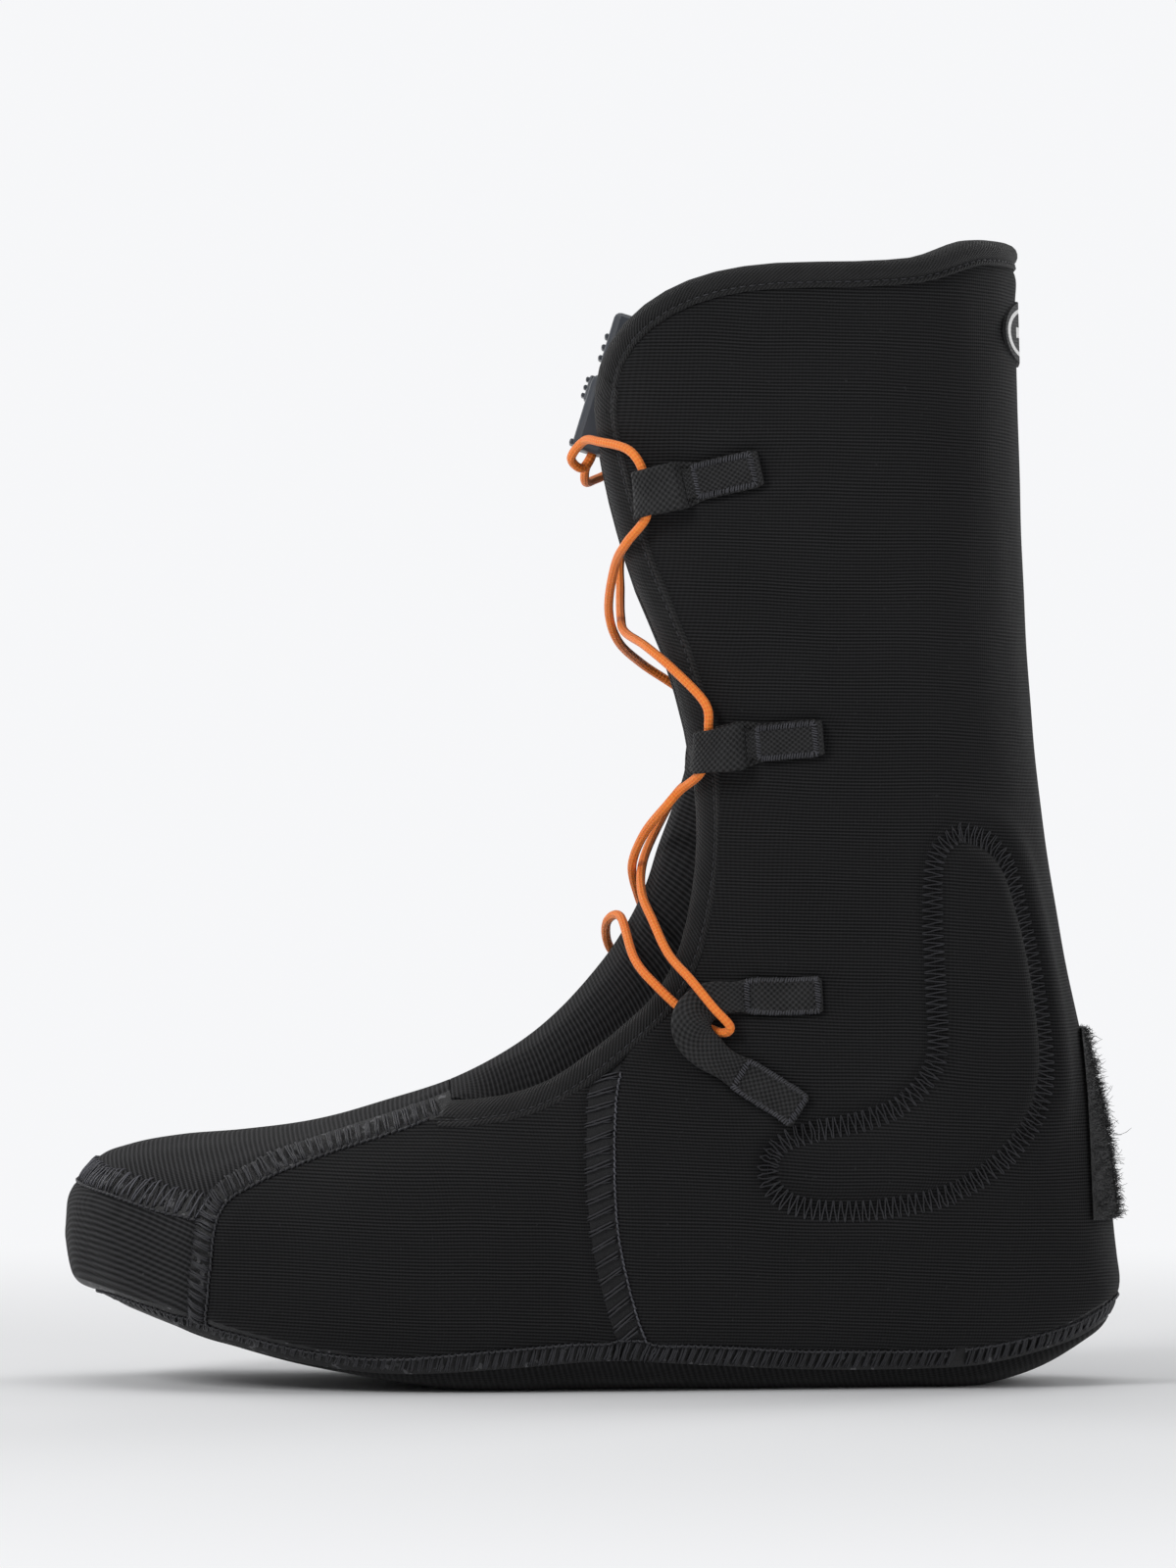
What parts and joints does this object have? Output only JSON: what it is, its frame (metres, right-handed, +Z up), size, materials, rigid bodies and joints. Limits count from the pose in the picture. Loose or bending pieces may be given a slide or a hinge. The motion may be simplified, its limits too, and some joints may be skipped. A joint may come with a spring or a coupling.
{
  "type": "snowboard boot liner",
  "caption": "Padded knitted inner boot with a tongue, sewn webbing lace loops, a round speed lace, a sliding lace lock with pull handle, and a loose footbed.",
  "frame": {"origin": "centre of the bounding box at the level of the sole's flat underside", "axes": "+Z up, -X towards the toe, +X towards the heel, -Y towards the outer (lateral) side of this left boot"},
  "size_m": [0.2904, 0.1078, 0.3134],
  "materials": {
    "laminate": "matt black knit bonded to foam, fine ribs",
    "seam_tape": "overlocked and zigzag-sewn black thread",
    "binding_tape": "black twill tape",
    "loop_pile": "fuzzy black loop pile",
    "webbing": "coarse black woven webbing",
    "fleece": "brushed black lining",
    "footbed_foam": "matt moulded foam",
    "lace_braid": "orange braided round lace",
    "lock_plastic": "satin slate-grey plastic",
    "badge_rubber": "matt light grey rubber",
    "spring_steel": "bright spring wire"
  },
  "bodies": {
    "boot": {"sole_panel": "laminate", "sole_seam": "seam_tape", "toe_cap": "laminate", "toe_seam": "seam_tape", "vamp": "laminate", "forefoot_panel_lateral": "laminate", "forefoot_panel_medial": "laminate", "quarter_seam_lateral": "seam_tape", "quarter_seam_medial": "seam_tape", "quarter_shell": "laminate", "collar_binding": "binding_tape", "ankle_pad_lateral": "laminate", "ankle_pad_medial": "laminate", "heel_patch": "loop_pile", "rear_badge": "badge_rubber", "lace_loop_upper_lateral": "webbing", "lace_loop_upper_medial": "webbing", "lace_loop_middle_lateral": "webbing", "lace_loop_middle_medial": "webbing", "lace_loop_lower_lateral": "webbing", "lace_loop_lower_medial": "webbing", "lining": "fleece", "lace": "lace_braid", "lock_body": "lock_plastic"},
    "tongue": {"tongue": "laminate", "tongue_lining": "fleece"},
    "lock_slider": {"lock_slider": "lock_plastic", "lock_spring": "spring_steel"},
    "pull_handle": {"pull_handle": "lock_plastic", "handle_cover": "lock_plastic", "lace_tail_lateral": "lace_braid", "lace_tail_medial": "lace_braid"},
    "footbed": {"footbed": "footbed_foam"}
  },
  "joints": [
    {"name": "tongue_flex", "type": "hinge", "parent": "boot", "child": "tongue", "pos_m": [-0.034, 0, 0.077], "axis": [0, 1, 0], "range_deg": [0, 10], "stiffness_Nm_per_rad": 0.4},
    {"name": "lock_release", "type": "slide", "parent": "boot", "child": "lock_slider", "axis": [-0.2924, 0, -0.9563], "range_m": [0, 0.003], "stiffness_N_per_m": 400, "springref_m": -0.001},
    {"name": "handle_pull", "type": "slide", "parent": "boot", "child": "pull_handle", "axis": [0.2924, 0, 0.9563], "range_m": [0, 0.008]},
    {"name": "footbed_lift", "type": "hinge", "parent": "boot", "child": "footbed", "pos_m": [-0.131, 0, 0.039], "axis": [0, -1, 0], "range_deg": [0, 10]}
  ]
}
